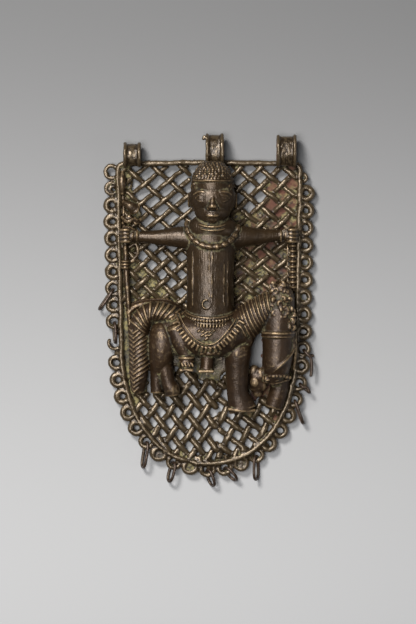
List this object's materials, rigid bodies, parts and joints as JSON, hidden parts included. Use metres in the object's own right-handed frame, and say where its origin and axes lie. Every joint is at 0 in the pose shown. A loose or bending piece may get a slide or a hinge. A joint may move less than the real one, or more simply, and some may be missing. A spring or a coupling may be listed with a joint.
{
  "type": "waist pendant",
  "caption": "Cast brass openwork waist pendant: a rounded plaque of crossed strips with a rider on a horse in high relief, suspension loops, edge rings and loose wire links",
  "frame": {"origin": "middle of the bounding box in X and Y, at the lowest point of the part in Z", "axes": "+X across the plaque to the side that the horse faces, +Y from the rounded foot to the suspension loops, +Z out of the face with the rider, so that the pendant lies on its back"},
  "size_m": [0.1126, 0.1848, 0.0292],
  "materials": {
    "cast_brass": "dark brown patina with rubbed highlights and pale ochre deposits in the recesses",
    "wire_brass": "dark brown patina, rubbed on the outside of the bends"
  },
  "bodies": {
    "root": {"cast_pendant": "cast_brass", "link_left_upper": "wire_brass", "link_left_lower": "wire_brass", "link_foot_left": "wire_brass", "link_foot_inner_left": "wire_brass", "link_foot_middle": "wire_brass", "link_foot_inner_right": "wire_brass", "link_foot_right": "wire_brass", "link_right_low": "wire_brass", "link_right_middle": "wire_brass", "link_right_upper": "wire_brass"}
  },
  "joints": []
}
